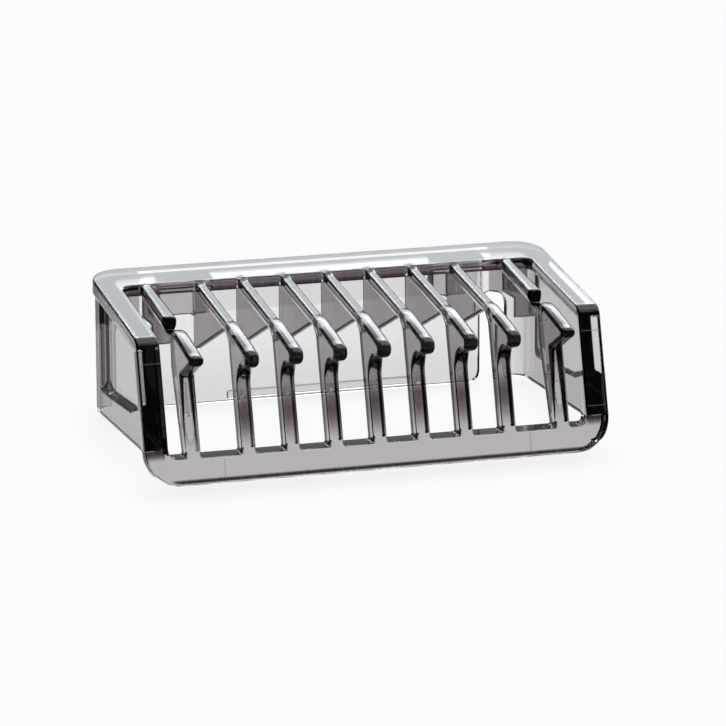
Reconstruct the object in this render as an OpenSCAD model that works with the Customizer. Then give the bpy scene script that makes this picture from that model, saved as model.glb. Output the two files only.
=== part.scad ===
// Clip-on stubble comb for a hybrid face trimmer.
// X runs across the comb, +Y to the rear, +Z up. The comb stands on a table plane at z = 0.
// Every shape is first drawn in a working frame whose origin is the middle of the fold between the
// upper face and the front face, with upright webs and cheeks, and is then seated on the table.

/* [Frame] */
// Overall width of the comb
comb_w = 39; // [36:0.5:42]
// Length of the sloping upper face, from the fold to the rear edge
upper_len = 15.95; // [15.6:0.05:16.6]
// Height of the front face, measured along the face
front_len = 11.85; // [11.5:0.05:12.4]
// Rise of the upper face towards the rear, in degrees
upper_rise = 8.9; // [7:0.1:11]
// Lean of the front face, whose lower edge stands forward, in degrees
front_lean = 15.35; // [13:0.05:18]
// Thickness of the frame plate
plate_t = 1.0; // [0.8:0.05:1.2]
// Width of the side rails
side_w = 1.9; // [1.6:0.05:2.1]
// Depth of the rear cross rail on the upper face
top_rail_w = 4.15; // [3.8:0.05:4.4]
// Height of the front cross rail on the front face
front_rail_h = 2.2; // [1.8:0.05:2.4]
// Outside radius of the two rear corners
rear_corner_r = 2.5; // [1.5:0.1:3]
// Outside radius of the two lower front corners
front_corner_r = 3.1; // [2:0.1:3.3]
// Radius of the fold between the two faces
fold_r = 1.2; // [1.1:0.05:1.6]
// Radius in the corners of the tooth opening
opening_r = 0.8; // [0.3:0.1:1]

/* [Teeth] */
// Spacing of the seven inner teeth
pitch = 3.65; // [3.4:0.05:3.8]
// Distance of each end tooth from the middle
end_tooth_x = 15.52; // [15.3:0.02:15.8]
// Width of the top bar of an inner tooth
bar_w = 0.78; // [0.6:0.02:1]
// Height of the top bar
bar_h = 0.95; // [0.7:0.05:1]
// Thickness of the web under an inner tooth
web_t = 0.5; // [0.4:0.05:0.7]
// Width of the nose and front bar of an inner tooth
nose_w = 1.15; // [1:0.05:1.3]
// Depth of the front bars and the front rail, square to the front face
front_bar_d = 2.05; // [1.6:0.05:2.4]
// Radius of the rounded nose tip
tip_r = 0.72; // [0.5:0.02:0.8]
// Distance that the nose reaches in front of the fold
nose_reach = 3.65; // [3:0.05:4]

/* [End teeth] */
// Width of the nose and front bar of an end tooth
end_nose_w = 1.2; // [1:0.05:1.3]
// Width of the top bar of an end tooth at the rear rail
end_bar_w = 0.95; // [0.8:0.05:1.2]
// Thickness of the web under an end tooth
end_web_t = 0.8; // [0.5:0.05:1]
// Radius of the nose tip of an end tooth
end_tip_r = 0.45; // [0.3:0.05:0.7]

/* [Housing] */
// Thickness of the cheeks
cheek_t = 1.0; // [0.8:0.05:1.1]
// Set-back of the cheeks from the edge of the frame
cheek_inset = 0.65; // [0.4:0.05:0.8]
// Outside radius of the upright rear corners
cheek_r = 2.2; // [1.5:0.1:2.5]
// Depth of the cheeks below the fold
cheek_drop = 8.95; // [8:0.05:9.1]
// Thickness of the rear skirt and the latch tab
tab_t = 0.85; // [0.7:0.05:1]
// Distance of the outer rear face behind the fold
rear_y = 15.4; // [15.2:0.05:15.5]
// Depth of the skirt below the fold
skirt_drop = 1.65; // [1.2:0.05:2]
// Width of the latch tab
tab_w = 28.5; // [26:0.5:29]
// Depth of the latch tab below the fold
tab_drop = 9.25; // [9.1:0.01:9.35]
// Width of the slot between the latch tab and each cheek
slot_w = 2.35; // [1.8:0.05:2.6]
// How far the lower step and the rear corner post stand out from each cheek
step_out = 0.53; // [0.3:0.01:0.65]

/* [Hidden] */
$fn = 48;

half_w = comb_w / 2;
inner_x = half_w - side_w;
opening_s = upper_len - top_rail_w;
front_top_s = front_len - front_rail_h;
arc_steps = 8;
// Radius of the lower front edge
edge_r = 0.35;

// Smoke-grey tints of the moulding
light_smoke = "#c6cad1";
mid_smoke = "#a9a9b0";
dark_smoke = "#56555c";

// Upper side of the lower step on each cheek: it runs level, then climbs to the front face
grip_rear_z = -6.85;
// Rear end of the recessed panel in each cheek
panel_rear_y = 12.2;
grip_bend = [2.3, -6.4];
grip_front_s = 5.5;
// Rear edge of the webs, and the straight line along their lower edges
web_rear_y = 13.1;
web_front_y = 3.54;
web_slope = 0.412;
// Radius of the hollow under the noses of the inner teeth
hollow_r = 1.7;
// Where the nose starts on the upper face, on the inner and on the end teeth
nose_s = 2.4;
end_nose_s = 1.95;
// Notch between the top bar and the nose of an end tooth
notch_rear_y = 4.4;
notch_z = -0.35;
// Step in the lower rear of an end tooth's web, which clears the blade clip
step_y = 8.8;
step_z = -0.95;
// Pads that join the latch tab and the webs beside it to the top rail
root_x0 = 9.6;
root_x1 = 14.0;
root_z = -1.3;
// Retaining bead on the inside of the latch tab
bead_r = 0.35;
bead_len = 16;
bead_z = -8.6;
// Clearance between the moving tab and the parts beside and above it
flex_gap = 0.03;

// A point on the upper face at distance s behind the fold and depth d below the face
function up(s, d) = [s * cos(upper_rise) + d * sin(upper_rise),
                     s * sin(upper_rise) - d * cos(upper_rise)];
// A point on the front face at distance s below the fold and depth d behind the face
function fr(s, d) = [-s * sin(front_lean) + d * cos(front_lean),
                     -s * cos(front_lean) - d * sin(front_lean)];
// Height of the upper face, lowered by d square to it, at distance y behind the fold
function up_z(y, d) = y * tan(upper_rise) - d / cos(upper_rise);
// Points of an arc about c, from angle a0 to a1
function arc(c, r, a0, a1) = [for (i = [0:arc_steps])
    c + r * [cos(a0 + (a1 - a0) * i / arc_steps), sin(a0 + (a1 - a0) * i / arc_steps)]];
function flip(points) = [for (i = [len(points) - 1:-1:0]) points[i]];
// Lower edge of the webs at distance y behind the fold
function web_z(y) = up_z(web_front_y, bar_h) - web_slope * (y - web_front_y);

// The fold: both faces are tangent to an arc of radius fold_r
fold_centre = up(fold_r * tan((90 - upper_rise - front_lean) / 2), fold_r);

// Outline of the bent frame at depth d, from s0 on the upper face to s1 on the front face
function bent(d, s0, s1) = concat(
    [up(s0, d)],
    arc(fold_centre, fold_r - d, 90 + upper_rise, 180 - front_lean),
    [fr(s1, d)]);

// The comb stands with its upper face level: the table plane, drawn in the working frame, runs
// through the lower edge of the latch tab and trims a narrow foot off the front rail
rest_tilt = upper_rise;
foot_rear = [rear_y, -tab_drop];
function table_z(y) = foot_rear.y + (y - foot_rear.x) * tan(rest_tilt);

// Seats the working frame on the table, with the middle of the comb's depth at y = 0
function seated_y(p) = p.x * cos(rest_tilt) + p.y * sin(rest_tilt);
function seated_z(p) = -p.x * sin(rest_tilt) + p.y * cos(rest_tilt);
seat_front = seated_y(fr(front_len - edge_r, edge_r)) - edge_r;
seat_rear = seated_y(up(upper_len, plate_t));
seat_y = (seat_front + seat_rear) / 2;
seat_z = seated_z(foot_rear);
module seated() translate([0, -seat_y, -seat_z]) rotate([-rest_tilt, 0, 0]) children();

// A slab between x0 and x1 whose outline lies in the YZ plane
module slab(x0, x1, points) translate([x0, 0, 0]) rotate([90, 0, 90])
    linear_extrude(x1 - x0) polygon(points);
// Children drawn in X and s, from depth d0 to d1 below the upper face
module below_upper(d0, d1) rotate([upper_rise, 0, 0]) translate([0, 0, -d1])
    linear_extrude(d1 - d0) children();
// Children drawn in X and s, from depth d0 to d1 behind the front face
module behind_front(d0, d1) rotate([-90 - front_lean, 0, 0]) translate([0, 0, d0])
    linear_extrude(d1 - d0) children();
// Rectangle from s0 to s1 across the whole comb, with corners of radius r at s1
module rounded_end(half, s0, s1, r) {
    translate([-half, s0]) square([2 * half, s1 - s0 - r]);
    translate([-half + r, s0]) square([2 * (half - r), s1 - s0]);
    for (side = [-1, 1])
        translate([side * (half - r), s1 - r]) circle(r);
}
module mirrored(side) mirror([side < 0 ? 1 : 0, 0, 0]) children();

// --- Frame ---

module top_rail() color(light_smoke) seated() below_upper(0, plate_t)
    difference() {
        rounded_end(half_w, opening_s - opening_r, upper_len, rear_corner_r);
        translate([0, -1]) rounded_end(inner_x, opening_s - opening_r, opening_s + 1, opening_r);
    }

// Cross-section of the front rail: level upper side, rounded lower front edge and narrow flat foot
rail_rear_s = front_top_s - front_bar_d * tan(front_lean);
face_turn = sin(front_lean) + tan(rest_tilt) * cos(front_lean);
foot_d = (fr(front_len, 0).y - table_z(fr(front_len, 0).x)) / face_turn;
foot_s = -(table_z(0) + front_bar_d * face_turn)
    / (cos(front_lean) - tan(rest_tilt) * sin(front_lean));
low_edge = arc(fr(front_len - edge_r, edge_r), edge_r, 180 - front_lean, 270 - front_lean);

module front_rail() color(mid_smoke) seated() {
    ends_s = front_top_s - 0.5 - opening_r;
    beam_x = half_w - front_corner_r;
    difference() {
        intersection() {
            slab(-half_w, half_w, concat([fr(ends_s, 0)], low_edge,
                [fr(front_len, plate_t), fr(ends_s, plate_t)]));
            behind_front(-1, plate_t + 1)
                rounded_end(half_w, ends_s - 1, front_len + 0.3, front_corner_r);
        }
        behind_front(-1, plate_t + 1)
            rounded_end(inner_x, ends_s - 1, front_top_s, opening_r);
    }
    slab(-beam_x, beam_x, concat([fr(front_top_s, 0)], low_edge,
        [fr(front_len, foot_d), fr(foot_s, front_bar_d), fr(rail_rear_s, front_bar_d)]));
}

module side_rail(side) color(dark_smoke) seated() mirrored(side) {
    rear_s = opening_s - opening_r;
    front_s = front_top_s - 0.5 - opening_r;
    slab(inner_x, half_w, concat(bent(0, rear_s, front_s), flip(bent(plate_t, rear_s, front_s))));
}

// --- Housing ---

// Plan outline of the housing wall: straight cheeks and rounded rear corners
module housing_plan(half, rear, r) {
    translate([-half, -8]) square([2 * half, rear + 8 - r]);
    translate([-half + r, -8]) square([2 * (half - r), rear + 8]);
    for (side = [-1, 1])
        translate([side * (half - r), rear - r]) circle(r);
}

module cheek(side) color(mid_smoke) seated() mirrored(side) {
    panel_x = half_w - cheek_inset;
    free_x = tab_w / 2 + slot_w;
    front_s = front_top_s - 0.5 - opening_r;
    difference() {
        intersection() {
            translate([0, 0, -20]) linear_extrude(30) difference() {
                housing_plan(panel_x + step_out, rear_y, cheek_r);
                housing_plan(panel_x - cheek_t, rear_y - tab_t, cheek_r - cheek_t);
            }
            slab(free_x, half_w, concat(
                [[rear_y + 1, up_z(rear_y + 1, plate_t)]],
                bent(plate_t, opening_s, front_s),
                [fr(cheek_drop / cos(front_lean) - 0.4, plate_t)],
                [[0.4, -cheek_drop], [rear_y + 1, -cheek_drop]]));
        }
        slab(panel_x, half_w + 1,
            [[-8, 4], [panel_rear_y, 4], [panel_rear_y, -cheek_drop - 1], [-8, -cheek_drop - 1]]);
    }
}

module grip_step(side) color(mid_smoke) seated() mirrored(side) {
    panel_x = half_w - cheek_inset;
    slab(panel_x, panel_x + step_out, [[panel_rear_y, grip_rear_z], grip_bend,
        fr(grip_front_s, plate_t), fr(cheek_drop / cos(front_lean) - 0.4, plate_t),
        [0.4, -cheek_drop], [panel_rear_y, -cheek_drop]]);
}

module rear_skirt() color(mid_smoke) seated() {
    free_x = tab_w / 2 + slot_w;
    slab(-free_x, free_x, [[rear_y - tab_t, up_z(rear_y - tab_t, plate_t)],
        [rear_y, up_z(rear_y, plate_t)], [rear_y, -skirt_drop], [rear_y - tab_t, -skirt_drop]]);
}

module latch_root(side) color(mid_smoke) seated() mirrored(side) {
    slab(root_x0, root_x1, [[web_rear_y, up_z(web_rear_y, plate_t)],
        [rear_y - tab_t, up_z(rear_y - tab_t, plate_t)], [rear_y - tab_t, root_z],
        [web_rear_y, root_z]]);
}

// --- Teeth ---

// The hollow under a nose is an arc tangent to the tip and to the front face
tip_centre = [-nose_reach + tip_r, up_z(-nose_reach + tip_r, tip_r)];
face_down = [-sin(front_lean), -cos(front_lean)];
hollow_off = tip_centre + hollow_r * [cos(front_lean), -sin(front_lean)];
hollow_s = hollow_off * face_down
    + sqrt(pow(hollow_off * face_down, 2) - hollow_off * hollow_off + pow(hollow_r + tip_r, 2));
hollow_centre = fr(hollow_s, -hollow_r);
hollow_join = atan2(hollow_centre.y - tip_centre.y, hollow_centre.x - tip_centre.x);

// Side outline of the lower end of a front bar, which stands on the front rail
function bar_foot() = [fr(front_top_s, 0), fr(rail_rear_s, front_bar_d)];

// Side outline of an inner tooth's nose and front bar
function nose_outline() = concat(
    [up(nose_s, 0)],
    arc(tip_centre, tip_r, 90 + upper_rise, 360 + hollow_join),
    arc(hollow_centre, hollow_r, 180 + hollow_join, -front_lean),
    bar_foot(), [fr(0.6, front_bar_d), up(nose_s, bar_h)]);

// Side outline of an end tooth's nose and front bar
end_tip_centre = [-nose_reach + end_tip_r, up_z(-nose_reach + end_tip_r, end_tip_r)];
function end_nose_outline() = concat(
    [up(end_nose_s, 0)],
    arc(end_tip_centre, end_tip_r, 90 + upper_rise, 235),
    [fr(3.1, 0)], bar_foot(), [fr(1.2, front_bar_d), [end_nose_s, notch_z]]);

function web_outline() = [[web_front_y, web_z(web_front_y)],
    [web_front_y, up_z(web_front_y, bar_h / 2)], up(opening_s, bar_h / 2), up(opening_s, plate_t),
    [web_rear_y, up_z(web_rear_y, plate_t)], [web_rear_y, web_z(web_rear_y)]];

function end_web_outline() = [[end_nose_s - 0.5, notch_z], [notch_rear_y, notch_z],
    [notch_rear_y, up_z(notch_rear_y, bar_h)], up(opening_s, bar_h),
    [up(opening_s, bar_h).x - 0.1, step_z], [step_y, step_z], [step_y, web_z(step_y)],
    [end_nose_s - 0.5, notch_z - 0.45]];

module inner_tooth(x) color(dark_smoke) seated() translate([x, 0, 0]) {
    slab(-bar_w / 2, bar_w / 2, [up(nose_s - 0.4, 0), up(nose_s - 0.4, bar_h), up(opening_s, bar_h),
        up(opening_s, 0)]);
    slab(-web_t / 2, web_t / 2, web_outline());
    slab(-nose_w / 2, nose_w / 2, nose_outline());
}

module end_tooth(side) color(dark_smoke) seated() mirrored(side) translate([end_tooth_x, 0, 0]) {
    round_r = 0.5;
    round_centre = [notch_rear_y + round_r, up_z(notch_rear_y + round_r, round_r)];
    intersection() {
        slab(-end_nose_w / 2, end_nose_w / 2, concat([up(opening_s, 0)],
            arc(round_centre, round_r, 90 + upper_rise, 180),
            [[notch_rear_y, up_z(notch_rear_y, bar_h)], up(opening_s, bar_h)]));
        below_upper(-1, bar_h + 1) polygon([[-end_bar_w / 2, opening_s], [-end_nose_w / 2, notch_rear_y],
            [end_nose_w / 2, notch_rear_y], [end_bar_w / 2, opening_s]]);
    }
    slab(-end_web_t / 2, end_web_t / 2, end_web_outline());
    slab(-end_nose_w / 2, end_nose_w / 2, end_nose_outline());
}

module comb_tooth_1() end_tooth(-1);
module comb_tooth_2() inner_tooth(-3 * pitch);
module comb_tooth_3() inner_tooth(-2 * pitch);
module comb_tooth_4() inner_tooth(-pitch);
module comb_tooth_5() inner_tooth(0);
module comb_tooth_6() inner_tooth(pitch);
module comb_tooth_7() inner_tooth(2 * pitch);
module comb_tooth_8() inner_tooth(3 * pitch);
module comb_tooth_9() end_tooth(1);

// --- Latch ---

// Springy tab behind the blade cavity: it bends about its upper edge
module latch_tab() color(light_smoke) seated() {
    mid_y = rear_y - tab_t / 2;
    hinge_z = -skirt_drop - flex_gap - tab_t / 2;
    corner_r = 1.0;
    intersection() {
        union() {
            slab(-tab_w / 2, tab_w / 2, [[rear_y - tab_t, hinge_z], [rear_y, hinge_z],
                [rear_y, table_z(rear_y)], [rear_y - tab_t, table_z(rear_y - tab_t)]]);
            translate([-tab_w / 2, mid_y, hinge_z]) rotate([0, 90, 0]) cylinder(h = tab_w, d = tab_t);
        }
        translate([0, rear_y + 1, 0]) rotate([90, 0, 0]) linear_extrude(3) mirror([0, 1])
            rounded_end(tab_w / 2, 0, tab_drop + 0.1, corner_r);
    }
}

module latch_bead() color(light_smoke) seated() intersection() {
    translate([-bead_len / 2, rear_y - tab_t, bead_z]) rotate([0, 90, 0])
        cylinder(h = bead_len, r = bead_r);
    translate([-comb_w / 2, rear_y - tab_t - 1, bead_z - 1]) cube([comb_w, 1, 2]);
}

top_rail();
front_rail();
side_rail(-1);  // left_side_rail
side_rail(1);  // right_side_rail
cheek(-1);  // left_cheek
cheek(1);  // right_cheek
grip_step(-1);  // left_grip_step
grip_step(1);  // right_grip_step
rear_skirt();
latch_root(-1);  // left_latch_root
latch_root(1);  // right_latch_root
comb_tooth_1();
comb_tooth_2();
comb_tooth_3();
comb_tooth_4();
comb_tooth_5();
comb_tooth_6();
comb_tooth_7();
comb_tooth_8();
comb_tooth_9();
latch_tab();
latch_bead();
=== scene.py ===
"""Clip-on stubble comb in clear smoke-grey plastic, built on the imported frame.

The moulding is described as a distance field in a working frame whose origin is the middle of the
fold between the upper face and the front face. One surface is taken from the field, cut into its
parts by planes and seated on the table. All working sizes are in millimetres.

In the working frame x runs across the comb, y to the rear and z up. A place on a face is given by s,
its distance from the fold along the face, and d, its depth behind the face.
"""
from math import atan2, cos, degrees, pi, radians, sin, sqrt, tan

import bmesh
import bpy
import numpy as np
from mathutils import Matrix, Vector


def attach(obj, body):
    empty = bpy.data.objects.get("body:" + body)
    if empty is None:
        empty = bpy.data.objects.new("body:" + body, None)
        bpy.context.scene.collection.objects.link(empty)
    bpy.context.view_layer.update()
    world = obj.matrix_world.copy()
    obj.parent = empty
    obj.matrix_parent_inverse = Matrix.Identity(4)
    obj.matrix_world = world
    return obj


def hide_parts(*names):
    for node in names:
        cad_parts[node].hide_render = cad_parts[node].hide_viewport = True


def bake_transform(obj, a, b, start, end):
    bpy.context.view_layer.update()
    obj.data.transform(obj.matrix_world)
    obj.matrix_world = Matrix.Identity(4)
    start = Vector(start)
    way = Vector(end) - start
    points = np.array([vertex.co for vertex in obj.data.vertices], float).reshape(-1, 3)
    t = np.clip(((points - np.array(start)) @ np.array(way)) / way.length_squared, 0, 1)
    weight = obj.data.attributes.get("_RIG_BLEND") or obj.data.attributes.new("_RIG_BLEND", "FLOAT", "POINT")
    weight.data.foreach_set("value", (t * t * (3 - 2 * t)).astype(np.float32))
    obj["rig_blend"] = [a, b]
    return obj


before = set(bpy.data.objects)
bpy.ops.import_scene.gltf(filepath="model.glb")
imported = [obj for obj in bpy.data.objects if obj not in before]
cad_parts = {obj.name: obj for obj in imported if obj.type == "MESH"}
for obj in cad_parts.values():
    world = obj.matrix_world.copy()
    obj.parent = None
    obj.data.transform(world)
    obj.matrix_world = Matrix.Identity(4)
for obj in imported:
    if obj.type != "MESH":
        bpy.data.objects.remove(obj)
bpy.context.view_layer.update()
MM = 0.001

# --- Sizes, as in the CAD model ---
# The bent plate: half its width, how far its two faces run and tilt, its thickness and its rim's
HALF_W = 19.5
UPPER_LEN, FRONT_LEN = 15.95, 11.85
RISE, LEAN = radians(8.9), radians(15.35)
PLATE_T, FLANGE_T, FLANGE_W = 1.0, 1.3, 1.15
REAR_R, FRONT_R, FOLD_R, EDGE_R = 2.5, 3.1, 1.2, 0.35
# The opening: half its width, its two ends and its corner radius
INNER_X, OPEN_REAR_S, OPEN_FRONT_S, OPEN_R = 17.6, 11.8, 9.65, 0.8
# Inner teeth: bars, webs and noses
PITCH, INNER_TEETH = 3.65, 7
BAR_W, BAR_H, BAR_D, BAR_SINK = 0.78, 0.95, 2.05, 0.12
WEB_T, WEB_REAR_Y, WEB_FRONT_Y, WEB_SLOPE = 0.5, 13.1, 3.54, 0.412
NOSE_W, NOSE_S, NOSE_REACH, NOSE_FALL, TIP_R, HOLLOW_R = 1.15, 2.4, 3.65, 0.26, 0.72, 1.7
# End teeth, with their notch at the fold and the step in their web
END_X, END_NOSE_W, END_BAR_W, END_WEB_T, END_TIP_R, END_NOSE_S = 15.52, 1.22, 0.95, 0.8, 0.45, 1.95
NOTCH_Y, NOTCH_Z, STEP_Y, STEP_Z = 4.4, -0.35, 8.8, -0.95
# Cheeks, with the recessed panel above the grip step
WALL_X, CHEEK_T, CHEEK_R, CHEEK_DROP = 18.85, 1.0, 2.2, 8.95
GRIP_X, GRIP_REAR_Z, GRIP_BEND, GRIP_FRONT_S, PANEL_REAR_Y = 19.38, -6.85, (2.3, -6.4), 5.5, 12.2
# Rear skirt, slots, tab, bead and the pads beside the webs
REAR_Y, TAB_T, SKIRT_DROP, TAB_X, SLOT_X, TAB_DROP = 15.4, 0.85, 1.65, 14.25, 16.6, 9.25
ROOT_X0, ROOT_X1, ROOT_Z = 9.6, 14.0, -1.3
BEAD_R, BEAD_X, BEAD_Z = 0.35, 8.0, -8.6

# --- Roundings that the moulding has beyond the CAD model ---
OUTER_ROUND, RAIL_ROUND, WALL_ROUND, RIM_ROUND, SLOT_ROUND = 0.38, 0.3, 0.2, 0.16, 0.14
NOSE_ROUND, BAR_ROUND, WEB_ROUND = 0.4, 0.14, 0.1
END_NOSE_ROUND, END_BAR_ROUND, END_WEB_ROUND = 0.42, 0.34, 0.12
PAD_ROUND, BEAD_ROUND, CORNER_ROUND = 0.2, 0.2, 0.2
# Fillets where features meet: the walls, the teeth, a tooth's web and nose, the end teeth, the pads and the
# rear corners
WALL_FILLET, TOOTH_FILLET, WEB_FILLET, NOSE_FILLET = 0.12, 0.14, 0.18, 0.12
END_FILLET, PAD_FILLET, CORNER_FILLET = 0.15, 0.15, 0.3
# How much the front rail's ends slope in towards their rear, and a length beyond everything
RAIL_DRAFT, FAR = 0.12, 60


def up(s, d):
    """A point on the upper face, s behind the fold and d below the face."""
    return (s * cos(RISE) + d * sin(RISE), s * sin(RISE) - d * cos(RISE))


def fr(s, d):
    """A point on the front face, s below the fold and d behind the face."""
    return (-s * sin(LEAN) + d * cos(LEAN), -s * cos(LEAN) - d * sin(LEAN))


def up_z(y, d):
    """Height at y of the line that lies d below the upper face."""
    return y * tan(RISE) - d / cos(RISE)


def web_z(y):
    """Height at y of the webs' sloping lower edge."""
    return up_z(WEB_FRONT_Y, BAR_H) - WEB_SLOPE * (y - WEB_FRONT_Y)


def arc(c, r, a0, a1, n=12):
    """Points of an arc about c, with angles in degrees."""
    angles = [radians(a0 + (a1 - a0) * i / n) for i in range(n + 1)]
    return [(c[0] + r * cos(a), c[1] + r * sin(a)) for a in angles]


# The comb stands with its upper face level
REST_TILT = RISE


def turned(p):
    """A point (y, z) of the working frame, turned to the comb's resting tilt."""
    return (p[0] * cos(REST_TILT) + p[1] * sin(REST_TILT), -p[0] * sin(REST_TILT) + p[1] * cos(REST_TILT))


FRONT_END_Y = turned(fr(FRONT_LEN - EDGE_R, EDGE_R))[0] - EDGE_R
REAR_END_Y = turned(up(UPPER_LEN, PLATE_T))[0]
SEAT_Y = (FRONT_END_Y + REAR_END_Y) / 2
SEAT_Z = turned((REAR_Y, -TAB_DROP))[1]


def seat(points):
    """Working frame in millimetres to the row frame in metres."""
    p = np.asarray(points, float)
    out = np.empty_like(p)
    out[..., 0] = p[..., 0]
    out[..., 1] = p[..., 1] * cos(REST_TILT) + p[..., 2] * sin(REST_TILT) - SEAT_Y
    out[..., 2] = -p[..., 1] * sin(REST_TILT) + p[..., 2] * cos(REST_TILT) - SEAT_Z
    return out * MM


def table_z(y):
    """Height of the table at y, in the working frame."""
    return -TAB_DROP + (y - REAR_Y) * tan(REST_TILT)


# --- Distance field, on a grid over the right half of the comb ---
STEP = 0.1
GRID_X1, GRID_Y0, GRID_Z0, GRID_DEPTH, GRID_HEIGHT = 20.1, -4.3, -12.2, 21.2, 15.4
xs = np.arange(0, int(GRID_X1 / STEP) + 1, dtype=np.float32) * np.float32(STEP)
ys = (np.arange(int(GRID_DEPTH / STEP) + 1) * STEP + GRID_Y0).astype(np.float32)
zs = (np.arange(int(GRID_HEIGHT / STEP) + 1) * STEP + GRID_Z0).astype(np.float32)
X = xs[:, None, None]
Y2, Z2 = np.meshgrid(ys, zs, indexing="ij")


def polygon(points):
    """Signed distance in the YZ plane to a closed outline."""
    d2 = np.full(Y2.shape, 1e9, np.float32)
    inside = np.zeros(Y2.shape, bool)
    for a, b in zip(points, list(points[1:]) + [points[0]]):
        ey, ez = b[0] - a[0], b[1] - a[1]
        if ey * ey + ez * ez < 1e-12:
            continue
        wy, wz = Y2 - a[0], Z2 - a[1]
        t = np.clip((wy * ey + wz * ez) / (ey * ey + ez * ez), 0, 1)
        d2 = np.minimum(d2, (wy - ey * t) ** 2 + (wz - ez * t) ** 2)
        if ez:
            inside ^= ((a[1] > Z2) != (b[1] > Z2)) & (Y2 < ey * (Z2 - a[1]) / ez + a[0])
    return np.where(inside, -np.sqrt(d2), np.sqrt(d2)).astype(np.float32)


def meet(a, b, r):
    """Intersection with its outer edge rounded to radius r."""
    qa, qb = a + r, b + r
    return np.hypot(np.maximum(qa, 0), np.maximum(qb, 0)) + np.minimum(np.maximum(qa, qb), 0) - r


def join(a, b, k):
    """Union with a fillet of about k."""
    return np.minimum(a, b) - np.maximum(k - np.abs(a - b), 0) ** 2 / (4 * k)


def rounded_box(u, v, half_u, v0, v1, r0, r1):
    """Distance to a rectangle |u| < half_u, v0 < v < v1, with corner radii r0 at v0 and r1 at v1."""
    mid, half_v = (v0 + v1) / 2, (v1 - v0) / 2
    r = np.where(v > mid, np.float32(r1), np.float32(r0))
    qu, qv = np.abs(u) - half_u + r, np.abs(v - mid) - half_v + r
    return np.hypot(np.maximum(qu, 0), np.maximum(qv, 0)) + np.minimum(np.maximum(qu, qv), 0) - r


def prism(outline, middle, width, r):
    """An outline in the YZ plane carried across a width about x = middle, with its edges rounded to r."""
    return meet(outline, np.abs(X - middle) - width / 2, r)


def fade(v, v0, v1):
    """0 up to v0, 1 from v1 on."""
    t = np.clip((v - v0) / (v1 - v0), 0, 1)
    return t * t * (3 - 2 * t)


# Distances along the two faces and out from them. S_RUN and S_OPEN join them up, positive on the upper face
S_UP, N_UP = Y2 * cos(RISE) + Z2 * sin(RISE), -Y2 * sin(RISE) + Z2 * cos(RISE)
S_FR, N_FR = -Y2 * sin(LEAN) - Z2 * cos(LEAN), -Y2 * cos(LEAN) + Z2 * sin(LEAN)
ON_UPPER = N_UP > N_FR
S_RUN = np.where(ON_UPPER, S_UP, -S_FR).astype(np.float32)
S_OPEN = np.where(ON_UPPER, S_UP, -S_FR + tan(LEAN) * N_FR).astype(np.float32)
FOLD_C = up(FOLD_R * tan((pi / 2 - RISE - LEAN) / 2), FOLD_R)


def bent(d, s0, s1):
    """The bent line at depth d, from s0 on the upper face to s1 on the front face."""
    fold = arc(FOLD_C, max(FOLD_R - d, 0.02), 90 + degrees(RISE), 180 - degrees(LEAN))
    return [up(s0, d)] + fold + [fr(s1, d)]


def strip(depth):
    """The bent plate from the side, down to a depth. It stops short of the front rail's rounded edge."""
    end = FRONT_LEN - 1
    return polygon(bent(0, UPPER_LEN, end) + bent(depth, UPPER_LEN, end)[::-1])


# The front rail stands on a narrow foot, where the table meets its lower edge and its rear side
RAIL_REAR_S = OPEN_FRONT_S - BAR_D * tan(LEAN)
FACE_TURN = sin(LEAN) + tan(REST_TILT) * cos(LEAN)
FOOT_D = (fr(FRONT_LEN, 0)[1] - table_z(fr(FRONT_LEN, 0)[0])) / FACE_TURN
FOOT_S = -(table_z(0) + BAR_D * FACE_TURN) / (cos(LEAN) - tan(REST_TILT) * sin(LEAN))
LOW_EDGE = arc(fr(FRONT_LEN - EDGE_R, EDGE_R), EDGE_R, 180 - degrees(LEAN), 270 - degrees(LEAN))
# Thick corners behind the plate, between the side rails and the front rail
CORNER_S0, CORNER_S1, CORNER_CHAMFER = 7.9, 10.6, 0.7


def rail_block():
    """The front rail from the side."""
    return polygon([fr(OPEN_FRONT_S, 0)] + LOW_EDGE
                   + [fr(FRONT_LEN, FOOT_D), fr(FOOT_S, BAR_D), fr(RAIL_REAR_S, BAR_D)])


def frame_field():
    """The bent plate with its opening, the deeper rim, the front rail and the thick corners."""
    outline = rounded_box(X, S_RUN[None], HALF_W, -FRONT_LEN, UPPER_LEN, FRONT_R, REAR_R)
    opening = rounded_box(X, S_OPEN[None], INNER_X, -OPEN_FRONT_S, OPEN_REAR_S, OPEN_R, OPEN_R)
    plate = meet(meet(strip(PLATE_T)[None], outline, OUTER_ROUND), -opening, RIM_ROUND)
    rim = meet(strip(FLANGE_T)[None], np.maximum(outline, -(outline + FLANGE_W)), RIM_ROUND)
    drafted = outline - RAIL_DRAFT * N_FR[None]
    rail = meet(rail_block()[None], drafted, RAIL_ROUND)
    corner = polygon([fr(CORNER_S0, 0.2), fr(CORNER_S1, 0.2), fr(CORNER_S1, BAR_D),
                      fr(CORNER_S0 + CORNER_CHAMFER, BAR_D - 0.1), fr(CORNER_S0, 1.5)])
    corner = meet(np.maximum(corner[None], drafted + 0.02), INNER_X + 0.05 - X, CORNER_ROUND)
    return np.minimum(np.minimum(plate, rim), join(rail, corner, CORNER_FILLET))


# Between the slots and behind this y the wall is the tab's, and its lower corners are rounded below this z
SLOT_MID_X, REAR_WALL_Y, TAB_CORNER_Z = 15.4, 13.6, -7
TAB_R, SLOT_R, SHARP_R, PANEL_R = 1.0, 1.1, 0.1, 0.7
# How wide the step down to the recessed panel is, at its front part and at the rear corner, where it widens
# between two places. Distances are scaled down, because the step makes them grow too fast
PANEL_EDGE_W, PANEL_REAR_W, PANEL_WIDENS_Y = 0.45, 1.25, (9.5, 11.5)
PANEL_SCALE = 0.85
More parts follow.
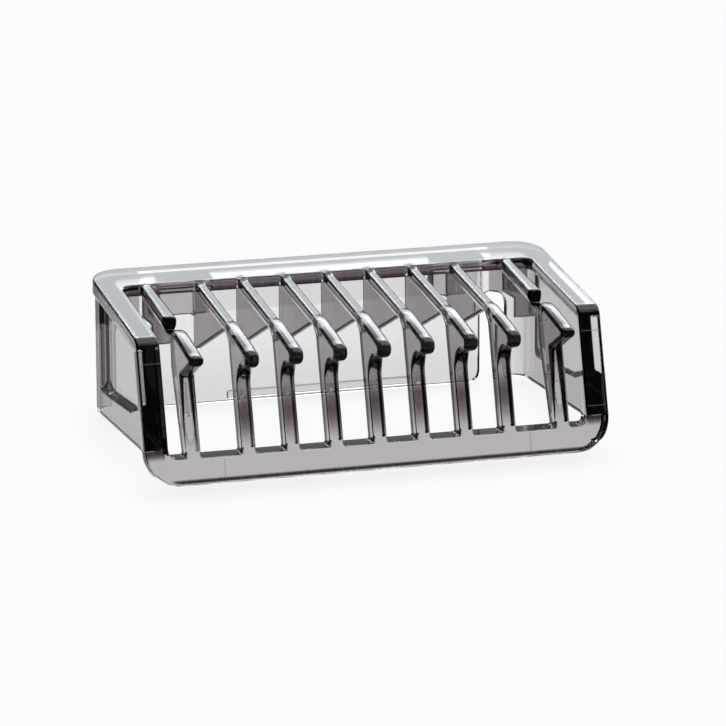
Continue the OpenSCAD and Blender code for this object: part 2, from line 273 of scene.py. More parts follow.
# The wall reaches up into the plate, to this depth below its faces
WALL_TOP_D = 0.6


def wall_field():
    """Cheeks, skirt and tab: an upright wall with two slots in its rear and a panel sunk in each side."""
    down = -Z2[None]
    plan = rounded_box(X, Y2[None], GRIP_X, -FAR, REAR_Y, SHARP_R, CHEEK_R)
    inner = rounded_box(X, Y2[None], WALL_X - CHEEK_T, -FAR, REAR_Y - TAB_T, SHARP_R, CHEEK_R - CHEEK_T)
    low = np.where(X > SLOT_MID_X, -CHEEK_DROP, -TAB_DROP)
    wall = meet(np.maximum(plan, -inner), low - Z2[None], WALL_ROUND)
    tab = rounded_box(X, down, TAB_X, -FAR, TAB_DROP, SHARP_R, TAB_R)
    at_tab = (X < SLOT_MID_X) & (Y2[None] > REAR_WALL_Y) & (Z2[None] < TAB_CORNER_Z)
    wall = np.maximum(wall, np.where(at_tab, tab, -FAR))
    slot_x, slot_half = (TAB_X + SLOT_X) / 2, (SLOT_X - TAB_X) / 2
    slot = rounded_box(X - slot_x, down, slot_half, SKIRT_DROP, FAR, SLOT_R, SHARP_R)
    wall = meet(wall, -np.maximum(slot, REAR_WALL_Y - Y2[None]), SLOT_ROUND)
    panel = polygon(arc((PANEL_REAR_Y - PANEL_R, GRIP_REAR_Z + PANEL_R), PANEL_R, 0, -88)
                    + [GRIP_BEND, fr(GRIP_FRONT_S, PLATE_T), fr(GRIP_FRONT_S, -2)]
                    + [(-6, 6), (PANEL_REAR_Y, 6)])
    width = PANEL_EDGE_W + (PANEL_REAR_W - PANEL_EDGE_W) * fade(Y2, *PANEL_WIDENS_Y)
    sunk = (GRIP_X - WALL_X) * fade(-panel / width, 0, 1)[None]
    wall = np.maximum(wall, (X - GRIP_X + sunk) * PANEL_SCALE)
    return np.maximum(np.maximum(wall, N_UP[None] + WALL_TOP_D), N_FR[None] + WALL_TOP_D)


# The hollow throat under a nose is an arc that touches the front bar's face and the round tip
TIP_C = (-NOSE_REACH + TIP_R, up_z(-NOSE_REACH + TIP_R, TIP_R + NOSE_FALL))
OFF = (TIP_C[0] + HOLLOW_R * cos(LEAN), TIP_C[1] - HOLLOW_R * sin(LEAN))
ALONG = -OFF[0] * sin(LEAN) - OFF[1] * cos(LEAN)
HOLLOW_S = ALONG + sqrt(ALONG ** 2 - OFF[0] ** 2 - OFF[1] ** 2 + (HOLLOW_R + TIP_R) ** 2)
HOLLOW_C = fr(HOLLOW_S, -HOLLOW_R)
HOLLOW_A = degrees(atan2(HOLLOW_C[1] - TIP_C[1], HOLLOW_C[0] - TIP_C[0]))
BAR_FOOT = [fr(OPEN_FRONT_S + 0.3, 0), fr(OPEN_FRONT_S + 0.3, BAR_D)]
# A nose's highest point lies this far ahead of its rear end. Behind it the nose rises from the bar, and
# ahead of it the fall follows this power of the distance
CROWN_AHEAD, CROWN_BACK, CROWN_RISE, CROWN_POWER = 0.5, 1.1, 0.15, 1.4
TIP_TOP_A = 96 + degrees(RISE)
# Where the crowns run into the round tips, and how deep the end bars' ends are rounded
NOSE_END_S, END_NOSE_END_S, END_BAR_R = -2.9, -3.1, 0.3
# How far the bars and webs run on into the rear rail
INTO_RAIL = 0.4


def crown(s0, s1):
    """Upper side of a nose: it swells up from the bar, then falls gently towards the tip."""
    top = s0 - CROWN_AHEAD
    behind = [CROWN_BACK * i / 8 for i in range(8, 0, -1)]
    return ([up(top + s, CROWN_RISE * s ** 2) for s in behind]
            + [up(top + (s1 - top) * i / 12, NOSE_FALL * (i / 12) ** CROWN_POWER) for i in range(12)])


def nose_outline():
    """Nose, throat and front bar of an inner tooth."""
    return polygon(crown(NOSE_S, NOSE_END_S) + arc(TIP_C, TIP_R, TIP_TOP_A, 360 + HOLLOW_A)
                   + arc(HOLLOW_C, HOLLOW_R, 180 + HOLLOW_A, -degrees(LEAN))
                   + BAR_FOOT + [fr(0.6, BAR_D), up(NOSE_S, BAR_H)])


def end_nose_outline():
    """Nose and front bar of an end tooth, whose tip is sharper and whose front is straight."""
    tip = (-NOSE_REACH + END_TIP_R, up_z(-NOSE_REACH + END_TIP_R, END_TIP_R + NOSE_FALL))
    rear = [fr(9.0, BAR_D), (2.35, -2.9), (2.6, NOTCH_Z - 0.05), (END_NOSE_S, NOTCH_Z)]
    return polygon(crown(END_NOSE_S - 0.4, END_NOSE_END_S) + arc(tip, END_TIP_R, TIP_TOP_A, 235)
                   + [fr(3.1, 0)] + BAR_FOOT + rear)


def bar_outline():
    """Top bar of an inner tooth, sunk a little below the upper face."""
    front_s, rear_s = NOSE_S - 0.9, OPEN_REAR_S + INTO_RAIL
    return polygon([up(front_s, BAR_SINK), up(front_s, BAR_H), up(rear_s, BAR_H), up(rear_s, 0),
                    up(OPEN_REAR_S - 0.6, BAR_SINK)])


def web_outline():
    """Triangular web behind an inner tooth."""
    return polygon([(WEB_FRONT_Y, web_z(WEB_FRONT_Y)), (WEB_FRONT_Y, up_z(WEB_FRONT_Y, BAR_H / 2)),
                    up(OPEN_REAR_S, BAR_H / 2), up(OPEN_REAR_S + 1.6, 0.6 * PLATE_T),
                    (WEB_REAR_Y, up_z(WEB_REAR_Y, PLATE_T)), (WEB_REAR_Y, web_z(WEB_REAR_Y))])


def end_web_outline():
    """Stepped web of an end tooth, below the notch and the top bar."""
    rear_y, front_y = up(OPEN_REAR_S, BAR_H)[0] - 0.1, END_NOSE_S - 0.5
    return polygon([(front_y, NOTCH_Z), (NOTCH_Y, NOTCH_Z), (NOTCH_Y, up_z(NOTCH_Y, BAR_H / 2)),
                    up(OPEN_REAR_S, BAR_H / 2), (rear_y, STEP_Z), (STEP_Y, STEP_Z), (STEP_Y, web_z(STEP_Y)),
                    (front_y, NOTCH_Z - 0.45)])


def end_bar_outline():
    """Top bar of an end tooth, with a rounded free end over the notch."""
    end_y, rear_s = NOTCH_Y + END_BAR_R, OPEN_REAR_S + INTO_RAIL
    return polygon([up(rear_s, 0)] + arc((end_y, up_z(end_y, END_BAR_R)), END_BAR_R, 90 + degrees(RISE), 180)
                   + [(NOTCH_Y, up_z(NOTCH_Y, BAR_H)), up(rear_s, BAR_H)])


def root_outline():
    """Pad between the skirt and the webs."""
    front_y, rear_y, top_d = WEB_REAR_Y, REAR_Y - 0.3, 0.6
    return polygon([(front_y, ROOT_Z), (front_y, up_z(front_y, top_d)),
                    (rear_y, up_z(REAR_Y, top_d)), (rear_y, ROOT_Z)])


# Half the width that a tooth can reach over, and how far a fillet can reach beyond a feature
TOOTH_HALF, REACH = 0.7, 0.9


def field():
    """Distance to the whole comb, mirrored to both halves."""
    F = join(frame_field(), wall_field(), WALL_FILLET)

    def add(x0, x1, make, k):
        """Blends make() into the slices around x0 to x1 only."""
        global X
        i0, i1 = max(int((x0 - REACH) / STEP), 0), min(int((x1 + REACH) / STEP) + 2, len(xs))
        whole, X = X, xs[i0:i1, None, None]
        F[i0:i1] = join(F[i0:i1], make(), k)
        X = whole

    root, root_mid = root_outline(), (ROOT_X0 + ROOT_X1) / 2
    add(ROOT_X0, ROOT_X1, lambda: prism(root, root_mid, ROOT_X1 - ROOT_X0, PAD_ROUND), PAD_FILLET)
    bead = np.hypot(Y2 - (REAR_Y - TAB_T), Z2 - BEAD_Z) - BEAD_R
    add(0, BEAD_X, lambda: prism(bead, 0, 2 * BEAD_X, BEAD_ROUND), PAD_FILLET)

    bar, web, nose = bar_outline(), web_outline(), nose_outline()

    def tooth(x):
        """An inner tooth."""
        body = prism(bar, x, BAR_W, BAR_ROUND)
        body = join(body, prism(web, x, WEB_T, WEB_ROUND), WEB_FILLET)
        return join(body, prism(nose, x, NOSE_W, NOSE_ROUND), NOSE_FILLET)

    for k in range((INNER_TEETH + 1) // 2):
        add(k * PITCH - TOOTH_HALF, k * PITCH + TOOTH_HALF, lambda: tooth(k * PITCH), TOOTH_FILLET)

    end_bar, end_web, end_nose = end_bar_outline(), end_web_outline(), end_nose_outline()
    # The end bar narrows from the notch to the rear rail
    narrowing = np.clip((S_UP - NOTCH_Y) / (OPEN_REAR_S - NOTCH_Y), 0, 1)
    end_bar_w = END_NOSE_W + (END_BAR_W - END_NOSE_W) * narrowing

    def end_tooth():
        """An end tooth."""
        body = prism(end_bar, END_X, end_bar_w, END_BAR_ROUND)
        body = join(body, prism(end_web, END_X, END_WEB_T, END_WEB_ROUND), END_FILLET)
        return join(body, prism(end_nose, END_X, END_NOSE_W, END_NOSE_ROUND), END_FILLET)

    add(END_X - TOOTH_HALF, END_X + TOOTH_HALF, end_tooth, TOOTH_FILLET)
    return np.concatenate([F[:0:-1], F])


def surface(F):
    """Quad surface of the field's zero level: one vertex in each cell that the surface crosses."""
    inside = F < 0
    corners = sum(inside[i:F.shape[0] - 1 + i, j:F.shape[1] - 1 + j, k:F.shape[2] - 1 + k].astype(np.uint8)
                  for i in (0, 1) for j in (0, 1) for k in (0, 1))
    active = (corners > 0) & (corners < 8)
    number = np.full(active.shape, -1, np.int32)
    count = int(active.sum())
    number[active] = np.arange(count, dtype=np.int32)
    total, hits, quads = np.zeros((count, 3)), np.zeros(count), []
    for axis in range(3):
        lo = [slice(None)] * 3
        hi = [slice(None)] * 3
        lo[axis], hi[axis] = slice(0, -1), slice(1, None)
        lo, hi = tuple(lo), tuple(hi)
        cross = np.nonzero(inside[lo] != inside[hi])
        f0, f1 = F[lo][cross], F[hi][cross]
        point = np.stack(cross, 1).astype(float)
        point[:, axis] += f0 / (f0 - f1)
        b, c = (axis + 1) % 3, (axis + 2) % 3
        around = []
        for db, dc in ((1, 1), (0, 1), (0, 0), (1, 0)):
            cell = list(cross)
            cell[b] = cross[b] - db
            cell[c] = cross[c] - dc
            v = number[tuple(cell)]
            around.append(v)
            for a in range(3):
                total[:, a] += np.bincount(v, point[:, a], count)
            hits += np.bincount(v, minlength=count)
        quad = np.stack(around, 1)
        out = f0 < 0
        quads.append(np.where(out[:, None], quad, quad[:, ::-1]))
    verts = total / hits[:, None] * STEP + np.array([-xs[-1], ys[0], zs[0]])
    return verts, np.concatenate(quads)


def to_bmesh(verts, faces):
    """A working mesh with a face layer that marks cut faces."""
    mesh = bpy.data.meshes.new("work")
    mesh.vertices.add(len(verts))
    mesh.vertices.foreach_set("co", verts.astype(np.float32).ravel())
    mesh.loops.add(faces.size)
    mesh.loops.foreach_set("vertex_index", faces.astype(np.int32).ravel())
    mesh.polygons.add(len(faces))
    mesh.polygons.foreach_set("loop_start", np.arange(0, faces.size, 4, dtype=np.int32))
    mesh.update(calc_edges=True)
    bm = bmesh.new()
    bm.from_mesh(mesh)
    bpy.data.meshes.remove(mesh)
    bm.faces.layers.float.new("cut_face")
    return bm


def halve(bm, co, no):
    """Two closed halves of a closed mesh: behind the plane and in front of it. Cut faces are marked."""
    halves = []
    for side in (1, -1):
        part = bm.copy()
        geom = part.verts[:] + part.edges[:] + part.faces[:]
        cut = bmesh.ops.bisect_plane(part, geom=geom, dist=1e-6, plane_co=co, plane_no=no,
                                     clear_outer=side > 0, clear_inner=side < 0)
        rim = [e for e in cut["geom_cut"] if isinstance(e, bmesh.types.BMEdge) and e.is_boundary]
        filled = bmesh.ops.triangle_fill(part, use_beauty=True, edges=rim, normal=Vector(no) * side)
        layer = part.faces.layers.float["cut_face"]
        for f in filled["geom"]:
            if isinstance(f, bmesh.types.BMFace):
                f[layer] = 1.0
                f.normal_update()
                if f.normal.dot(Vector(no)) * side < 0:
                    f.normal_flip()
        for e in rim:
            e.smooth = False
        halves.append(part)
    bm.free()
    return halves


# --- Tint and painted shade ---
# How strongly a place tints the light, compared with the shell. Most of the extra tint is painted shade: it
# darkens the noses, bars, webs, side-rail bands, rear stubs and edges where the moulding shows shade, and there
# the mould's flow lines show most. The tab and the pads beside the slots tint less than the shell
TOP_BAR_PAINTED_SHADE, WEB_PAINTED_SHADE, END_WEB_PAINTED_SHADE, STUB_PAINTED_SHADE, PAD_TINT = 3.0, 4.8, 3.4, 3.5, 0.5
FRONT_BAR_PAINTED_SHADE, END_BAR_SHADE_SHARE, FOOT_PAINTED_SHADE, LOW_EDGE_PAINTED_SHADE = 2.6, 0.6, 4, 7
SIDE_BAND_PAINTED_SHADE, SIDE_BAND_SHADE_FALL, REAR_EDGE_PAINTED_SHADE = 11.0, 9, 4.0
SKIN = 0.06


def on_faces(co):
    """For each point: s and d on the upper face, then s and d on the front face."""
    y, z = co[:, 1], co[:, 2]
    return (y * cos(RISE) + z * sin(RISE), y * sin(RISE) - z * cos(RISE),
            -y * sin(LEAN) - z * cos(LEAN), y * cos(LEAN) - z * sin(LEAN))


def tint_and_shade_of(co):
    """How strongly each point tints the light, painted shade included."""
    x, y, z = np.abs(co[:, 0]), co[:, 1], co[:, 2]
    s_up, d_up, s_fr, d_fr = on_faces(co)
    tint_and_shade = np.ones(len(x))
    end_side = x > 14.7
    behind_bars = (d_up > 0.25) & (d_fr > BAR_D + 0.1)

    # Teeth: painted shade darkens the noses and front bars, most just under the nose, and clears towards the
    # front rail
    in_teeth = (x < 16.3) & (s_up < OPEN_REAR_S - 0.1) & (s_fr < 9.2)
    front = in_teeth & (d_fr < BAR_D + 0.1)
    along = (1 - fade(s_fr, 6.2, 9.2)) * (0.3 + 0.7 * fade(s_fr, 4.4, 6.2))
    tint_and_shade = np.where(front, 1 + FRONT_BAR_PAINTED_SHADE * along * np.where(end_side, END_BAR_SHADE_SHARE, 1), tint_and_shade)
    # Painted shade on the top bars, for their dark sides
    tint_and_shade = np.where(in_teeth & (d_up < BAR_H + SKIN) & ~front, TOP_BAR_PAINTED_SHADE, tint_and_shade)
    # Painted shade darkens the webs, and the end teeth's webs and bar sides
    off = np.abs(x - np.round(x / PITCH) * PITCH)
    web = (x < 12) & (off < WEB_T / 2 + SKIN) & behind_bars & (d_up > BAR_H + 0.02)
    tint_and_shade = np.where(web & (y < WEB_REAR_Y - 0.1) & (z > -5), WEB_PAINTED_SHADE, tint_and_shade)
    tint_and_shade = np.where(end_side & (x < 16.4) & behind_bars & (y < 12.5) & (z > -3.6), END_WEB_PAINTED_SHADE, tint_and_shade)

    # Rear wall: the tab, the pads beside the slots and the stubs outside them
    rear = y > 14.3
    skirt = z > -SKIRT_DROP - 0.1
    tint_and_shade = np.where(rear & (x < TAB_X + 0.1) & (z < -SKIRT_DROP + 0.1), 0.45 + 0.5 * fade(-z, 3, 9), tint_and_shade)
    tint_and_shade = np.where(rear & (x > 14.0) & (x < 17.0) & skirt, PAD_TINT, tint_and_shade)

    # Side rails and the edges of the moulding, all painted shade: a dark band down each side rail, the rear
    # stubs, the feet, the front rail's lower edge and the upper face's rear edge
    shade_band = (x > INNER_X - 0.05) & (x < 18.45) & (d_fr > 0.85) & (d_fr < 2.0) & (s_fr > 0.8) & (s_fr < 9.2)
    tint_and_shade = np.where(shade_band, SIDE_BAND_PAINTED_SHADE - SIDE_BAND_SHADE_FALL * fade(s_fr, 8.2, 9.2), tint_and_shade)
    # Painted shade: the dark band at the rear corners
    tint_and_shade = np.where((x > 15.2) & (y > 14) & skirt, STUB_PAINTED_SHADE, tint_and_shade)
    # Painted shade where the side rails' dark band runs into the front rail's corners
    shaded_foot = (x > 17.6) & (d_fr > 0.8) & (s_fr > 8.8) & (s_fr < 9.9)
    tint_and_shade = np.where(shaded_foot, 1 + FOOT_PAINTED_SHADE * (1 - fade(s_fr, 8.8, 9.7)), tint_and_shade)
    # Painted shade: a thin dark line along the front rail's lower edge
    low_edge_shade = LOW_EDGE_PAINTED_SHADE * fade(s_fr, FRONT_LEN - 0.65, FRONT_LEN - 0.3)
    tint_and_shade = np.where(d_fr < 2.4, tint_and_shade + low_edge_shade, tint_and_shade)
    # Painted shade: a thin dark line along the upper face's rear edge
    return np.where((s_up > UPPER_LEN - 0.25) & (d_up < 0.9) & (x < 17), REAR_EDGE_PAINTED_SHADE, tint_and_shade)


def place_of(co):
    """Places on the front face: x, s and d."""
    return np.stack([co[:, 0], *on_faces(co)[2:]], 1)


# --- Pieces ---
def make_piece(bm, name, keep=None):
    """A piece from a working mesh; keep limits it to the points with x in that range."""
    if keep:
        gone = [v for v in bm.verts if not keep[0] <= v.co.x <= keep[1]]
        bmesh.ops.delete(bm, geom=gone, context="VERTS")
    for f in bm.faces:
        f.smooth = True
    mesh = bpy.data.meshes.new(name)
    bm.to_mesh(mesh)
    bm.free()
    flat = np.empty(len(mesh.vertices) * 3, np.float32)
    mesh.vertices.foreach_get("co", flat)
    co = flat.reshape(-1, 3)
    # Per point tint, with painted shade in the darker places
    tint_and_shade = mesh.attributes.new("tint_and_shade", "FLOAT", "POINT")
    tint_and_shade.data.foreach_set("value", tint_and_shade_of(co).astype(np.float32))
    place = mesh.attributes.new("place", "FLOAT_VECTOR", "POINT")
    place.data.foreach_set("vector", place_of(co).astype(np.float32).ravel())
    mesh.vertices.foreach_set("co", seat(co).astype(np.float32).ravel())
    mesh.update()
    obj = bpy.data.objects.new(name, mesh)
    bpy.context.scene.collection.objects.link(obj)
    return obj


# Where the moulding is cut into pieces, along the lines between the CAD nodes
REAR_CUT_S, FRONT_CUT_S = 11.55, 8.95
TAB_CUT, TAB_CUT_NORMAL = (0, 15.0, -1.7), (0, 0.836, -0.548)
TOOTH_REACH = 1.6


def tooth_places():
    """Where the teeth stand, from left to right."""
    middle = (INNER_TEETH - 1) / 2
    return [-END_X] + [(k - middle) * PITCH for k in range(INNER_TEETH)] + [END_X]


def build_pieces():
    """The moulding's pieces, each with the names of the CAD nodes that it stands for."""
    whole = to_bmesh(*surface(field()))
    rest, right = halve(whole, (SLOT_X, 0, 0), (1, 0, 0))
    left, middle = halve(rest, (-SLOT_X, 0, 0), (1, 0, 0))
    middle, rear = halve(middle, (0, *up(REAR_CUT_S, 0)), (0, cos(RISE), sin(RISE)))
    rail, tab = halve(rear, TAB_CUT, TAB_CUT_NORMAL)
    teeth, front = halve(middle, (0, *fr(FRONT_CUT_S, 0)), (0, -sin(LEAN), -cos(LEAN)))
    parts = [("rear_rail", rail, ["top_rail", "rear_skirt", "left_latch_root", "right_latch_root"]),
             ("front_rail_bar", front, ["front_rail"]),
             ("left_side", left, ["left_side_rail", "left_cheek", "left_grip_step"]),
             ("right_side", right, ["right_side_rail", "right_cheek", "right_grip_step"])]
    pieces = [(make_piece(bm, name), nodes) for name, bm, nodes in parts]
    for number, x in enumerate(tooth_places(), 1):
        tooth = make_piece(teeth.copy(), f"tooth_{number}", (x - TOOTH_REACH, x + TOOTH_REACH))
        pieces.append((tooth, [f"comb_tooth_{number}"]))
    teeth.free()
    pieces.append((make_piece(tab, "spring_tab"), ["latch_tab", "latch_bead"]))
    return pieces


# --- Materials ---
def node(tree, kind, inputs=None, **settings):
    """A new shader node. Each input gets a plain value, or the socket that feeds it."""
    made = tree.nodes.new(kind)
    for name, value in settings.items():
        setattr(made, name, value)
    for key, value in (inputs or {}).items():
        if isinstance(value, bpy.types.NodeSocket):
            tree.links.new(value, made.inputs[key])
        else:
            made.inputs[key].default_value = value
    return made


def maths(tree, operation, *values):
    """The result of a Math node."""
    return node(tree, "ShaderNodeMath", dict(enumerate(values)), operation=operation).outputs[0]


def new_material(name):
    """A material with an empty node tree."""
    mat = bpy.data.materials.new(name)
    mat.use_nodes = True
    mat.node_tree.nodes.clear()
    return mat, mat.node_tree


# Share of the light lost in a millimetre of plastic, for red, green and blue, and how it bends light
LOSS_PER_MM, PLASTIC_IOR = (0.305, 0.33, 0.315), 1.49
# A texture bake sees the tint of a wall this thick
BAKED_WALL = 1.1
# Sizes of the streaks in the tint and of the ripples in the surface, in noise cells to the metre
STREAKS, STREAK_STRETCH, RIPPLES = 3600, 0.12, 700
# Witness lines left by the mould, as x0, x1, s0, s1 on the front face, and how white they are
WITNESS_LINES = ((-19.3, -17.7, 1.88, 1.95), (17.7, 19.3, 1.87, 1.94), (17.7, 19.2, 7.98, 8.05),
                 (-13.15, -13.09, 9.8, 11.7), (12.53, 12.59, 9.8, 11.7))
WITNESS_SHARE = 0.55


def plastic_colour(tree):
    """What a path inside the plastic leaves of the light. It darkens with the path's length, and more where the
    tint attribute holds painted shade.
    """
    path, coords = node(tree, "ShaderNodeLightPath"), node(tree, "ShaderNodeTexCoord")
    tint_and_shade = node(tree, "ShaderNodeAttribute", attribute_name="tint_and_shade").outputs["Fac"]
    # Fine flow lines of the mould run down the walls and webs
    stretched = node(tree, "ShaderNodeMapping",
                     {"Vector": coords.outputs["Object"], "Scale": (1, 1, STREAK_STRETCH)})
    streaks = node(tree, "ShaderNodeTexNoise",
                   {"Vector": stretched.outputs[0], "Scale": STREAKS, "Detail": 4}).outputs["Fac"]
    spread = maths(tree, "MULTIPLY", maths(tree, "SUBTRACT", tint_and_shade, 0.9), 0.7)
    uneven = maths(tree, "MULTIPLY", maths(tree, "SUBTRACT", streaks, 0.5), spread)
    strength = maths(tree, "ADD", tint_and_shade, uneven)
    # A texture bake has no path inside the plastic and reads the ray length as exactly one metre, so it gets
    # the tint of a plain wall
    ray = path.outputs["Ray Length"]
    inside = maths(tree, "MULTIPLY", ray, node(tree, "ShaderNodeNewGeometry").outputs["Backfacing"])
    baked = maths(tree, "LESS_THAN", maths(tree, "ABSOLUTE", maths(tree, "SUBTRACT", ray, 1.0)), 1e-6)
    length = maths(tree, "ADD", inside, maths(tree, "MULTIPLY", baked, BAKED_WALL * MM))
    weighted = maths(tree, "MULTIPLY", length, strength)
    left = [maths(tree, "EXPONENT", maths(tree, "MULTIPLY", weighted, -loss / MM)) for loss in LOSS_PER_MM]
    return node(tree, "ShaderNodeCombineColor", dict(enumerate(left))).outputs[0]


def witness_mask(tree):
    """1 on the witness lines, across the side rails and up the front rail, and 0 elsewhere."""
    place = node(tree, "ShaderNodeAttribute", attribute_name="place")
    across, along, behind = node(tree, "ShaderNodeSeparateXYZ", {0: place.outputs["Vector"]}).outputs

    def between(value, low, high):
        """1 if the value lies between the two, else 0."""
        return maths(tree, "MULTIPLY", maths(tree, "GREATER_THAN", value, low),
                     maths(tree, "LESS_THAN", value, high))

    lines = 0
    for x0, x1, s0, s1 in WITNESS_LINES:
        mark = maths(tree, "MULTIPLY", between(across, x0, x1), between(along, s0, s1))
        lines = maths(tree, "MAXIMUM", lines, mark)
    return maths(tree, "MULTIPLY", lines, between(behind, -0.1, 0.15))


def smoke_plastic():
    """Clear smoke-grey plastic: glass that darkens with the length of each path inside it."""
    mat, tree = new_material("smoke_clear_plastic")
    coords = node(tree, "ShaderNodeTexCoord").outputs["Object"]
    ripple = node(tree, "ShaderNodeTexNoise", {"Vector": coords, "Scale": RIPPLES, "Detail": 2})
    bump = node(tree, "ShaderNodeBump",
                {"Height": ripple.outputs["Fac"], "Strength": 0.02, "Distance": 0.02 * MM})
    glass = node(tree, "ShaderNodeBsdfGlass", {"IOR": PLASTIC_IOR, "Roughness": 0.0,
                                               "Color": plastic_colour(tree), "Normal": bump.outputs[0]})
    chalk = node(tree, "ShaderNodeBsdfDiffuse", {"Color": (0.45, 0.45, 0.47, 1)})
    lined = node(tree, "ShaderNodeMixShader", {0: maths(tree, "MULTIPLY", witness_mask(tree), WITNESS_SHARE),
                                               1: glass.outputs[0], 2: chalk.outputs[0]})
    # The faces where two pieces meet don't show, because the real comb is one moulding
    cut = node(tree, "ShaderNodeAttribute", attribute_name="cut_face")
    clear = node(tree, "ShaderNodeBsdfTransparent")
    seen = node(tree, "ShaderNodeMixShader",
                {0: cut.outputs["Fac"], 1: lined.outputs[0], 2: clear.outputs[0]})
    node(tree, "ShaderNodeOutputMaterial", {"Surface": seen.outputs[0]})
    return mat


# How bright the table looks, to the camera in the open and in a corner, and to bent rays at least and at most
TABLE_OPEN, TABLE_CORNER, TABLE_FAR, TABLE_NEAR = 0.955, 0.84, 0.08, 0.95
# The angles off the camera's line, in degrees, between which bent rays lose the bright table, and the
# distances behind the comb's middle, in metres, between which it ends
BEND_MOST, BEND_LEAST, TABLE_END, TABLE_FADE = 44, 14, 0.07, 0.042
CONTACT_REACH = 0.003


def ahead(tree, wide, narrow):
    """1 for rays that still run the way the camera looks, falling to 0 as they are bent further away."""
    incoming = node(tree, "ShaderNodeNewGeometry").outputs["Incoming"]
    turned_in = node(tree, "ShaderNodeVectorTransform", {0: incoming}, vector_type="VECTOR",
                     convert_from="WORLD", convert_to="CAMERA")
    split = node(tree, "ShaderNodeSeparateXYZ", {0: turned_in.outputs[0]})
    return node(tree, "ShaderNodeMapRange",
                {"Value": maths(tree, "ABSOLUTE", split.outputs["Z"]),
                 "From Min": cos(radians(wide)), "From Max": cos(radians(narrow))},
                interpolation_type="SMOOTHSTEP").outputs[0]


def floor_material():
    """Pale light table: white to the camera, with a faint contact shade under the comb's edges, and dimmer
    to rays that the plastic bends far aside."""
    mat, tree = new_material("pale_floor")
    split = node(tree, "ShaderNodeSeparateXYZ", {0: node(tree, "ShaderNodeTexCoord").outputs["Object"]})
    near = node(tree, "ShaderNodeMapRange",
                {"Value": split.outputs["Y"], "From Min": TABLE_END, "From Max": TABLE_FADE},
                interpolation_type="SMOOTHSTEP")
    straight = maths(tree, "MULTIPLY", ahead(tree, BEND_MOST, BEND_LEAST), near.outputs[0])
    bent_rays = node(tree, "ShaderNodeMapRange",
                     {"Value": straight, "To Min": TABLE_FAR, "To Max": TABLE_NEAR})
    contact = node(tree, "ShaderNodeAmbientOcclusion", {"Distance": CONTACT_REACH}, samples=8)
    shade = node(tree, "ShaderNodeMapRange",
                 {"Value": contact.outputs["AO"], "To Min": TABLE_CORNER, "To Max": TABLE_OPEN})
    by_camera = node(tree, "ShaderNodeLightPath").outputs["Is Camera Ray"]
    level = node(tree, "ShaderNodeMix", {0: by_camera, 2: bent_rays.outputs[0], 3: shade.outputs[0]})
    glow = node(tree, "ShaderNodeEmission", {"Strength": level.outputs[0]})
    matte = node(tree, "ShaderNodeBsdfDiffuse", {"Color": (0.012, 0.012, 0.012, 1)})
    both = node(tree, "ShaderNodeAddShader", {0: glow.outputs[0], 1: matte.outputs[0]})
    node(tree, "ShaderNodeOutputMaterial", {"Surface": both.outputs[0]})
    return mat


# The tab's root gives over this height when the latch bends
FLEX_Z0, FLEX_Z1 = -2.4, -3.4
plastic = smoke_plastic()
for obj, nodes in build_pieces():
    obj.data.materials.append(plastic)
    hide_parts(*nodes)
    if "latch_tab" in nodes:
        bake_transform(obj, "comb", "latch", tuple(seat((0, REAR_Y, FLEX_Z0))), tuple(seat((0, REAR_Y, FLEX_Z1))))
    else:
        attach(obj, "comb")


# --- Floor, light and camera ---
FLOOR_HALF, FLOOR_Z = 2, -0.0002
# The softbox from behind the comb, over it and to the front: how far round as a share of half a turn, and how
# bright there
SKY_BANDS = ((0.0, 0.007), (0.04, 0.04), (0.085, 0.4), (0.128, 0.43), (0.146, 0.97), (0.165, 0.85),
             (0.195, 0.26), (0.36, 0.2), (0.46, 0.3), (0.58, 0.17), (0.68, 0.006), (1.0, 0.006))
SKY_STRENGTH, SKY_COLOUR = 8.0, (0.92, 0.96, 1.0, 1)
# Sideways, the softbox is centred off the middle and fades out between two offsets
SKY_CENTRE, SKY_FULL, SKY_END, SKY_LEAST = 0.3, 0.42, 0.72, 0.02
# The camera's place in the working frame, its angles, its lens in millimetres, and its near and far limits
CAM_AT = (-108.73, -339.47, 81.35)
CAM_ELEV, CAM_SIDE, CAM_ROLL = radians(13.354), radians(17.646), radians(-0.26)
CAM_LENS, CAM_SENSOR, CAM_NEAR, CAM_FAR = 226.408, 36, 0.01, 20


def add_floor():
    """The table top, just under the comb."""
    mesh = bpy.data.meshes.new("floor")
    corners = [(x * FLOOR_HALF, y * FLOOR_HALF, FLOOR_Z) for x, y in ((-1, -1), (1, -1), (1, 1), (-1, 1))]
    mesh.from_pydata(corners, [], [(0, 1, 2, 3)])
    mesh.materials.append(floor_material())
    floor = bpy.data.objects.new("floor", mesh)
    bpy.context.scene.collection.objects.link(floor)


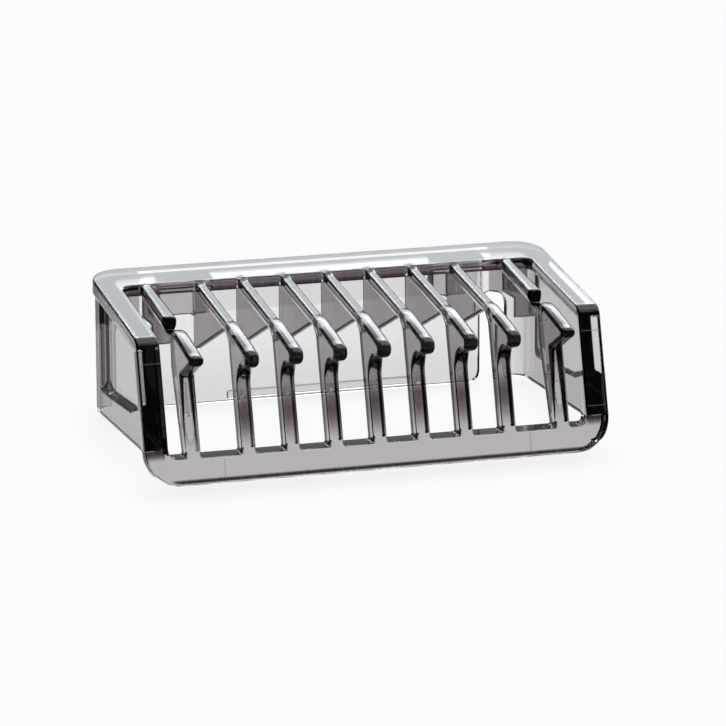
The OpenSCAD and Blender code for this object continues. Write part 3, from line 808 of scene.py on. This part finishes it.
def studio_world():
    """A wide bluish softbox that arches from low behind the comb to above it, and a dark room in front."""
    world = bpy.data.worlds.new("studio")
    bpy.context.scene.world = world
    world.use_nodes = True
    tree = world.node_tree
    split = node(tree, "ShaderNodeSeparateXYZ", {0: node(tree, "ShaderNodeTexCoord").outputs["Generated"]})
    round_about = maths(tree, "ARCTAN2", split.outputs["Z"], split.outputs["Y"])
    bands = node(tree, "ShaderNodeValToRGB", {0: maths(tree, "DIVIDE", round_about, pi)})
    ramp = bands.color_ramp
    ramp.interpolation = "EASE"
    for place, _ in SKY_BANDS[1:-1]:
        ramp.elements.new(place)
    for element, (place, value) in zip(ramp.elements, SKY_BANDS):
        element.position = place
        element.color = (value, value, value, 1)
    off_centre = maths(tree, "ABSOLUTE", maths(tree, "SUBTRACT", split.outputs["X"], SKY_CENTRE))
    aside = node(tree, "ShaderNodeMapRange",
                 {"Value": off_centre, "From Min": SKY_END, "From Max": SKY_FULL, "To Min": SKY_LEAST},
                 interpolation_type="SMOOTHSTEP")
    light = maths(tree, "MULTIPLY", bands.outputs[0], aside.outputs[0])
    background = tree.nodes["Background"]
    background.inputs["Color"].default_value = SKY_COLOUR
    tree.links.new(maths(tree, "MULTIPLY", light, SKY_STRENGTH), background.inputs["Strength"])


def add_camera():
    """A long lens, low to the left in front of the comb."""
    back = Vector((-sin(CAM_SIDE) * cos(CAM_ELEV), -cos(CAM_SIDE) * cos(CAM_ELEV), sin(CAM_ELEV)))
    right = Vector((cos(CAM_SIDE), -sin(CAM_SIDE), 0))
    upward = back.cross(right)
    camera_x = right * cos(CAM_ROLL) + upward * sin(CAM_ROLL)
    camera_y = -right * sin(CAM_ROLL) + upward * cos(CAM_ROLL)
    turn = Matrix.Rotation(-REST_TILT, 3, "X")
    pose = Matrix([turn @ axis for axis in (camera_x, camera_y, back)]).transposed().to_4x4()
    pose.translation = Vector(seat(CAM_AT))
    data = bpy.data.cameras.new("camera")
    data.sensor_width, data.lens = CAM_SENSOR, CAM_LENS
    data.clip_start, data.clip_end = CAM_NEAR, CAM_FAR
    camera = bpy.data.objects.new("camera", data)
    camera.matrix_world = pose
    bpy.context.scene.collection.objects.link(camera)
    bpy.context.scene.camera = camera


add_floor()
studio_world()
add_camera()

# Light passes many clear walls on its way through the comb
scene = bpy.context.scene
scene.view_settings.view_transform = "Standard"
scene.cycles.max_bounces = 24
scene.cycles.transmission_bounces = 24
scene.cycles.glossy_bounces = 16
scene.cycles.transparent_max_bounces = 48

bpy.context.view_layer.update()
